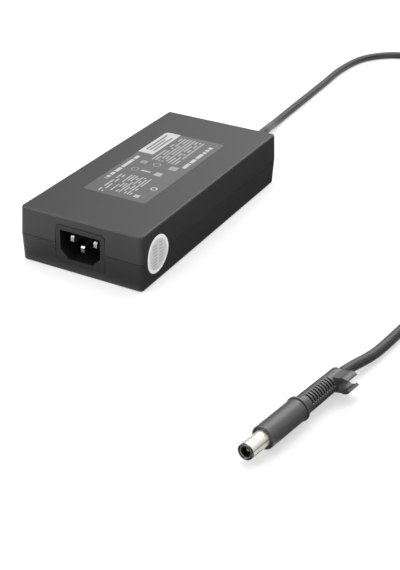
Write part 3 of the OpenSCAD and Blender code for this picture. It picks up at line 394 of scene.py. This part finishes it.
label_film, shader, tree = new_finish("label_film", (0.07, 0.07, 0.07), roughness=0.42)
place = object_place(tree)
x, y = split(place)[:2]
fine = rules(tree, x, y, pitch=0.0021, share=0.5, dash=0.0024, cover=0.8, seed=1.0)
bold = rules(tree, x, y, pitch=0.0030, share=0.9, dash=0.0012, cover=0.8, seed=2.0)
dense = rules(tree, x, y, pitch=0.0017, share=0.5, dash=0.0030, cover=0.85, seed=3.0)
block = patch(x, y, (-21.0, 14.0), (-11.0, 48.0))
block_bars = (patch(x, y, (-18.6, 19.0), (-17.4, 43.5)) + patch(x, y, (-16.3, 19.0), (-15.1, 37.0))
              + patch(x, y, (-14.0, 19.0), (-12.8, 41.0)))
ink = (patch(x, y, (-9.2, 8.0), (8.0, 44.0)) * fine * 0.62
       + patch(x, y, (12.3, 6.0), (14.6, 40.0)) * bold
       + patch(x, y, (-18.2, -27.0), (-15.8, 9.0)) * bold
       + patch(x, y, (-13.6, -42.0), (-8.4, -18.0)) * fine * 0.7
       + patch(x, y, (-7.0, -39.0), (6.0, -16.0)) * dense * 0.72
       + patch(x, y, (8.0, -40.0), (11.2, -36.8)) * 0.8
       + ring_mark(x, y, (13.0, -26.0), 2.0, 0.7)
       + ring_mark(x, y, (-1.5, 2.5), 2.4, 0.5) * 0.6
       + patch(x, y, (-12.0, 0.5), (-8.0, 4.5)) * 0.35
       + patch(x, y, (6.5, 0.0), (11.5, 5.0)) * 0.5
       + patch(x, y, (-5.6, -9.0), (0.4, -7.4)) * 0.8
       + patch(x, y, (3.4, -10.6), (7.6, -6.4)) * 0.7
       + ring_mark(x, y, (-9.4, -8.4), 2.2, 0.5) * 0.5)
film = noise(tree, place, grain=0.015).mixed((0.056, 0.056, 0.057), (0.064, 0.064, 0.065))
printed = (ink * 0.8).mixed(film, (0.42, 0.42, 0.42))
blocked = block.mixed(printed, (0.37, 0.37, 0.37))
feed(shader, "Base Color", block_bars.mixed(blocked, (0.10, 0.10, 0.10)))
feed(shader, "Normal", relief(tree, noise(tree, place, grain=0.0009), depth=0.00001))
paint(label_film, "rating_label")

# ---------------------------------------------------------------------------
# Seal: a round sticker of silvered film pressed over the seam, with a white
# rim and two columns of short plain bars.
SEAL_Y, SEAL_RADIUS = -0.0639, 0.0105
BAR_PITCH = 0.0018
seal_film, shader, tree = new_finish("seal_film", (0.6, 0.6, 0.6), roughness=0.4)
place = object_place(tree)
y, z = split(place)[1:]
along, above = y - SEAL_Y, z - SEAM_HEIGHT
from_middle = distance(along, above) / SEAL_RADIUS
field = noise(tree, place, grain=0.002).mixed((0.42, 0.42, 0.42), (0.50, 0.50, 0.50))
rimmed = from_middle.between(0.80, 0.84).mixed(field, (0.66, 0.66, 0.66))
columns = (patch(along, above, (-5.0, -7.0), (-1.0, 7.0))
           + patch(along, above, (1.2, -6.2), (4.6, 6.2)))
bars = above / BAR_PITCH
marks = columns * (bars - math.floor(bars) < 0.5)
feed(shader, "Base Color", (marks * 0.6).mixed(rimmed, (0.2, 0.2, 0.2)))
paint(seal_film, "round_seal")

# ---------------------------------------------------------------------------
# Mains inlet: a moulded housing clamped in both shells, with three pins of
# nickel-plated brass pressed through its floor. Its flange has the case's
# grain; the recess inside is painted near-black, as painted shade.
FLANGE_FRONT = -0.0792
inlet_plastic, shader, tree = new_finish("inlet_plastic", (0.02, 0.02, 0.02),
                                         roughness=0.5, specular=0.3)
place = object_place(tree)
y = split(place)[1]
# Behind the flange's front the colour darkens to near-black: painted shade in the recess
recess_shade = y.between(FLANGE_FRONT + 0.0002, FLANGE_FRONT + 0.0005)
feed(shader, "Base Color", recess_shade.mixed((0.017, 0.017, 0.018), (0.004, 0.004, 0.004)))
moulded_grain = noise(tree, place, grain=CASE_GRAIN, detail=1.0)
feed(shader, "Normal", relief(tree, moulded_grain, depth=0.00002))
paint(inlet_plastic, "inlet_housing")


def plated_pin(name, bright, dull):
    """A pin's plated metal, brushed a little unevenly between two colours."""
    material, shader, tree = new_finish(name, bright, roughness=0.3, metallic=1.0)
    worn = noise(tree, object_place(tree), grain=0.0008)
    feed(shader, "Base Color", worn.mixed(dull, bright))
    feed(shader, "Roughness", worn * 0.25 + 0.2)
    return material


paint(plated_pin("pin_metal", (0.62, 0.61, 0.58), (0.48, 0.47, 0.44)),
      "inlet_live_pin", "inlet_neutral_pin")
# The earth pin's metal is painted darker than the other two pins', as painted shade
paint(plated_pin("earth_pin_shaded_metal", (0.40, 0.39, 0.36), (0.28, 0.27, 0.25)),
      "inlet_earth_pin")

# ---------------------------------------------------------------------------
# Plug: a nickel-plated barrel rolled from sheet, with a polished black ring at
# its tip and a split brass pin in its bore. The body, its collar and the slotted
# sleeve with the clip are moulded over it in soft black plastic.
PLUG_ROLL = math.radians(15)
BARREL_SEAM_ANGLE = math.radians(6)
FIRST_SLOT, SLOT_PITCH, SLOT_COUNT, SLOT_WIDTH = 0.0434, 0.00185, 10, 0.00095
PIP_HEIGHT = 0.00058


def plug_place(tree, place):
    """Position in the plug's own frame: across, above and along from its tip, in metres."""
    moved = tree.make("ShaderNodeVectorMath", {"operation": "SUBTRACT"},
                      {0: place, 1: tuple(PLUG_TIP)})
    turned = tree.make("ShaderNodeVectorRotate", {"rotation_type": "Z_AXIS"},
                       {"Vector": moved, "Angle": PLUG_HEADING})
    rolled = tree.make("ShaderNodeVectorRotate", {"rotation_type": "Y_AXIS"},
                       {"Vector": turned, "Angle": PLUG_ROLL})
    across, along, above = split(rolled)
    return across, above, along


barrel_metal, shader, tree = new_finish("barrel_metal", (0.71, 0.685, 0.62),
                                        roughness=0.45, metallic=1.0)
place = object_place(tree)
across, above, along = plug_place(tree, place)
# The sheet's two edges meet in a line along the right side of the barrel
off_seam = across * math.sin(BARREL_SEAM_ANGLE) - above * math.cos(BARREL_SEAM_ANGLE)
seam = (1 - abs(off_seam).between(0.00008, 0.0002)) * across.between(0.0005, 0.001)
worn = noise(tree, place, grain=0.0022, detail=4.0).between(0.35, 0.75)
nickel = worn.mixed((0.71, 0.685, 0.62), (0.63, 0.60, 0.535))
# It is darker towards where it goes into the body
near_body_darkening = along.between(0.0112, 0.0126)
darkened_nickel = (near_body_darkening * 0.5).mixed(nickel, (0.30, 0.28, 0.27))
feed(shader, "Base Color", (seam * 0.8).mixed(darkened_nickel, (0.10, 0.10, 0.11)))
feed(shader, "Roughness", worn * 0.12 + 0.42)
paint(barrel_metal, "plug_barrel")

# The contact sleeve keeps its metal colour at its rim only; down its bore it is painted near-black,
# as painted shade
contact_metal, shader, tree = new_finish("contact_metal", (0.62, 0.59, 0.52),
                                         roughness=0.4, metallic=0.6)
place = object_place(tree)
along = plug_place(tree, place)[2]
rim = noise(tree, place, grain=0.0008).mixed((0.50, 0.47, 0.41), (0.66, 0.63, 0.56))
feed(shader, "Base Color", along.between(0.0006, 0.0010).mixed(rim, (0.035, 0.033, 0.028)))
paint(contact_metal, "inner_contact")

tip_plastic, shader, tree = new_finish("tip_plastic", (0.022, 0.022, 0.023), roughness=0.22)
feed(shader, "Roughness", noise(tree, object_place(tree), grain=0.0006) * 0.15 + 0.16)
paint(tip_plastic, "tip_insulator", "inner_base")

pin_brass, shader, tree = new_finish("pin_brass", (0.92, 0.78, 0.50),
                                     roughness=0.3, metallic=0.6)
worn = noise(tree, object_place(tree), grain=0.0007)
feed(shader, "Base Color", worn.mixed((0.95, 0.84, 0.58), (0.84, 0.70, 0.43)))
paint(pin_brass, "centre_pin")

plug_rubber, shader, tree = new_finish("plug_rubber", (0.026, 0.026, 0.027),
                                       roughness=0.48, specular=0.76)
place = object_place(tree)
above, along = plug_place(tree, place)[1:]
grain = noise(tree, place, grain=0.00035)
# The mould parts along the plug's middle, and the line that it leaves comes and goes
parting = ((1 - abs(above).between(0.00004, 0.00014))
           * noise(tree, place, grain=0.003).between(0.40, 0.62))
# A pip at the lower end of each upper slot, on the bar above the parting line: a small bump with a
# painted highlight on it
row = (along - (FIRST_SLOT + SLOT_WIDTH / 2)) / SLOT_PITCH
off_pip = distance((row - round(row)) * SLOT_PITCH, above - PIP_HEIGHT)
pip_bumps_and_glints = (1 - off_pip.between(0.00012, 0.00020)) * (row > -0.5) * (row < SLOT_COUNT - 0.5)
moulded = grain.mixed((0.015, 0.015, 0.016), (0.036, 0.036, 0.037))
lined = (parting * 0.6).mixed(moulded, (0.09, 0.09, 0.09))
# The pips are painted pale: a painted highlight
feed(shader, "Base Color", pip_bumps_and_glints.mixed(lined, (0.55, 0.55, 0.55)))
feed(shader, "Roughness", grain * 0.18 + 0.39)
feed(shader, "Normal", relief(tree, grain + parting * 0.5 + pip_bumps_and_glints * 0.6, depth=0.00005))
paint(plug_rubber, "plug_housing", "strain_relief")

# ---------------------------------------------------------------------------
# Inside the case, out of sight once the shells are welded: the board, its
# shields and insulation, and the parts of the converter.


def plain_finish(name, light, dark, roughness, grain, metallic=0.0, bump=0.00002):
    """A finish that varies a little between two colours, with a fine relief."""
    material, shader, tree = new_finish(name, light, roughness, metallic)
    lumps = noise(tree, object_place(tree), grain, detail=3.0)
    feed(shader, "Base Color", lumps.mixed(dark, light))
    feed(shader, "Normal", relief(tree, lumps, bump))
    return material


paint(plain_finish("board_laminate", (0.35, 0.28, 0.12), (0.27, 0.21, 0.08),
                   roughness=0.5, grain=0.0006),
      "circuit_board", "control_board")
paint(plain_finish("shield_metal", (0.75, 0.75, 0.75), (0.62, 0.62, 0.63),
                   roughness=0.35, grain=0.004, metallic=1.0),
      "bottom_shield", "top_shield", "primary_heatsink", "secondary_heatsink")
paint(plain_finish("insulating_film", (0.75, 0.70, 0.50), (0.68, 0.62, 0.42),
                   roughness=0.3, grain=0.01),
      "bottom_insulator", "top_insulator")
paint(plain_finish("pad_silicone", (0.42, 0.52, 0.62), (0.34, 0.44, 0.54),
                   roughness=0.7, grain=0.001),
      "thermal_pads")
paint(plain_finish("component_ceramic", (0.62, 0.60, 0.52), (0.54, 0.52, 0.44),
                   roughness=0.3, grain=0.002),
      "fuse")
paint(plain_finish("component_blue", (0.05, 0.12, 0.40), (0.03, 0.09, 0.32),
                   roughness=0.3, grain=0.002),
      "varistor", "y_capacitors")
paint(plain_finish("component_green", (0.05, 0.15, 0.08), (0.03, 0.11, 0.05),
                   roughness=0.3, grain=0.002),
      "thermistor")
paint(plain_finish("film_yellow", (0.72, 0.52, 0.06), (0.62, 0.42, 0.03),
                   roughness=0.45, grain=0.003),
      "x_capacitors", "transformer_winding")
paint(plain_finish("copper_wire", (0.62, 0.31, 0.15), (0.45, 0.20, 0.09),
                   roughness=0.3, grain=0.0008, metallic=1.0, bump=0.0001),
      "choke_windings", "boost_winding", "output_choke")
paint(plain_finish("ferrite", (0.06, 0.06, 0.06), (0.04, 0.04, 0.04),
                   roughness=0.6, grain=0.001),
      "choke_cores", "boost_core", "transformer_core")
paint(plain_finish("package_black", (0.035, 0.035, 0.035), (0.022, 0.022, 0.022),
                   roughness=0.5, grain=0.0008),
      "bridge_rectifier", "power_transistors", "output_rectifiers")
paint(plain_finish("package_white", (0.80, 0.80, 0.80), (0.72, 0.72, 0.72),
                   roughness=0.5, grain=0.0008),
      "optocouplers")
paint(plain_finish("can_sleeve", (0.03, 0.04, 0.12), (0.02, 0.03, 0.09),
                   roughness=0.3, grain=0.004),
      "bulk_capacitors", "output_capacitors")
paint(plain_finish("wire_insulation", (0.05, 0.05, 0.05), (0.03, 0.03, 0.03),
                   roughness=0.4, grain=0.002),
      "output_wires")

# ---------------------------------------------------------------------------
# Floor and light: a white sheet, a broad soft lamp overhead, one behind that
# shines along the plug, and one in front at each side, the right one far off.
FLOOR_REACH = 3.0
GLOW_NEARBY = 0.47
SURROUNDINGS_LIGHT = 0.5


def white_to_eye(tree, shown, lit):
    """Strength of a white glow: shown to the camera and in mirrors, lit to other light."""
    rays = tree.make("ShaderNodeLightPath", {}, {}).socket.node.outputs
    camera_ray, glossy_ray, glass_ray = [
        Signal(tree.tree, rays[name])
        for name in ("Is Camera Ray", "Is Glossy Ray", "Is Transmission Ray")]
    mirror_ray = glossy_ray.math("MAXIMUM", glossy_ray, glass_ray)
    return camera_ray.math("MAXIMUM", camera_ray, mirror_ray) * (shown - lit) + lit


def flat_stage(name, *quads):
    """Flat four-cornered sheets as one object that isn't part of the adapter."""
    corners = [corner for quad in quads for corner in quad]
    mesh = bpy.data.meshes.new(name)
    mesh.from_pydata(corners, [], np.arange(len(corners)).reshape(-1, 4).tolist())
    sheet = bpy.data.objects.new(name, mesh)
    bpy.context.collection.objects.link(sheet)
    sheet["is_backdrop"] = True
    return sheet


floor = flat_stage("floor", [(-FLOOR_REACH, -FLOOR_REACH, 0), (FLOOR_REACH, -FLOOR_REACH, 0),
                             (FLOOR_REACH, FLOOR_REACH, 0), (-FLOOR_REACH, FLOOR_REACH, 0)])
floor_white, shader, tree = new_finish("floor_white", (0.85, 0.85, 0.85),
                                       roughness=0.9, specular=0.0)
# Part of its white is a glow near the object, and all of it far away, where no lamp reaches
x, y = split(object_place(tree))[:2]
far_off = distance(x, y).between(0.45, 1.4)
glow_share = far_off * (1 - GLOW_NEARBY) + GLOW_NEARBY
glow = tree.make("ShaderNodeEmission", {}, {"Color": (1.0, 1.0, 1.0, 1.0), "Strength": 1.0})
mixed_floor = tree.make("ShaderNodeMixShader", {},
                        {0: white_to_eye(tree, glow_share, 0.0),
                         1: Signal(tree.tree, shader.outputs[0]), 2: glow})
tree.tree.links.new(mixed_floor.socket, tree.tree.nodes["Material Output"].inputs["Surface"])
floor.data.materials.append(floor_white)

world = bpy.data.worlds.new("studio")
world.use_nodes = True
bpy.context.scene.world = world
sky = Signal(world.node_tree)
background = world.node_tree.nodes["Background"]
background.inputs["Color"].default_value = (1.0, 1.0, 1.0, 1.0)
feed(background, "Strength", white_to_eye(sky, 1.0, SURROUNDINGS_LIGHT))


def soft_lamp(name, place, towards, size, power):
    """A square lamp that faces a point."""
    lamp = bpy.data.lights.new(name, "AREA")
    lamp.size, lamp.energy = size, power
    lamp_object = bpy.data.objects.new(name, lamp)
    aim = np.array(towards) - np.array(place)
    back = -aim / np.linalg.norm(aim)
    side = np.cross([0.0, 1.0, 0.0], back)
    side /= np.linalg.norm(side)
    turn = np.eye(4)
    turn[:3, :3] = np.stack([side, np.cross(back, side), back], axis=1)
    turn[:3, 3] = place
    lamp_object.matrix_world = Matrix(turn.tolist())
    bpy.context.collection.objects.link(lamp_object)


soft_lamp("lamp_overhead", (-0.22, 0.22, 1.0), (0.05, 0.0, 0.0), size=0.7, power=6.5)
soft_lamp("lamp_behind", (0.17, 0.52, 0.54), (0.15, -0.13, 0.01), size=0.58, power=3.8)
soft_lamp("lamp_front_left", (-0.24, -0.38, 0.26), (0.0, -0.08, 0.02), size=0.25, power=1.5)
soft_lamp("lamp_front_right", (1.1, -0.35, 0.60), (0.05, -0.05, 0.02), size=0.5, power=5.0)

# ---------------------------------------------------------------------------
# Dark cards round the object that only mirrors see, as a studio hangs them to
# keep black plastic black. The camera and the lamps' light pass through them.
CARD_FOOT = 0.0005


def lying(*corners):
    """A card that lies just over the floor, from its corners (x, y)."""
    return [(x, y, CARD_FOOT) for x, y in corners]


def standing(start, end, top):
    """A card that stands on the floor from start to end (x, y), and is top high."""
    return [(*start, CARD_FOOT), (*start, top), (*end, top), (*end, CARD_FOOT)]


def mirror_card(name, glow, *cards):
    """Cards that only mirrors see, as bright as that glow."""
    card = flat_stage(name, *cards)
    card.visible_camera = card.visible_diffuse = card.visible_shadow = False
    finish, shader = new_finish(name, (0.0, 0.0, 0.0), roughness=1.0, specular=0.0)[:2]
    shader.inputs["Emission Color"].default_value = (1.0, 1.0, 1.0, 1.0)
    shader.inputs["Emission Strength"].default_value = glow
    card.data.materials.append(finish)


# One along the right side of the case and a high one behind it keep that side deep black
mirror_card("case_card", 0.06,
            lying((0.037, -0.09), (0.12, -0.09), (0.12, 0.50), (0.037, 0.50)),
            standing((0.30, 0.20), (0.30, 0.80), 0.35))
# One far off at the left darkens the top towards its left edge
mirror_card("left_card", 0.06, standing((-0.70, 0.97), (-1.16, 0.31), 0.9))
# Two lie in front, at the feet of the inlet end and of the plug's front face
mirror_card("front_card", 0.0,
            lying((-0.04, -0.104), (0.08, -0.104), (0.08, -0.082), (-0.04, -0.082)),
            lying((0.108, -0.215), (0.138, -0.220), (0.150, -0.166), (0.125, -0.162)))
# A greyer pair at the right side of the plug keeps that side dark
mirror_card("plug_card", 0.18,
            lying((0.150, -0.157), (0.30, -0.184), (0.30, 0.20), (0.199, 0.118)),
            standing((0.30, -0.184), (0.30, 0.20), 0.05))

view = bpy.context.scene.view_settings
view.view_transform = "Standard"

({"cad": [list(map(float, corner)) for corner in cad_box],
           "visual": [list(map(float, corner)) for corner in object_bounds()]})
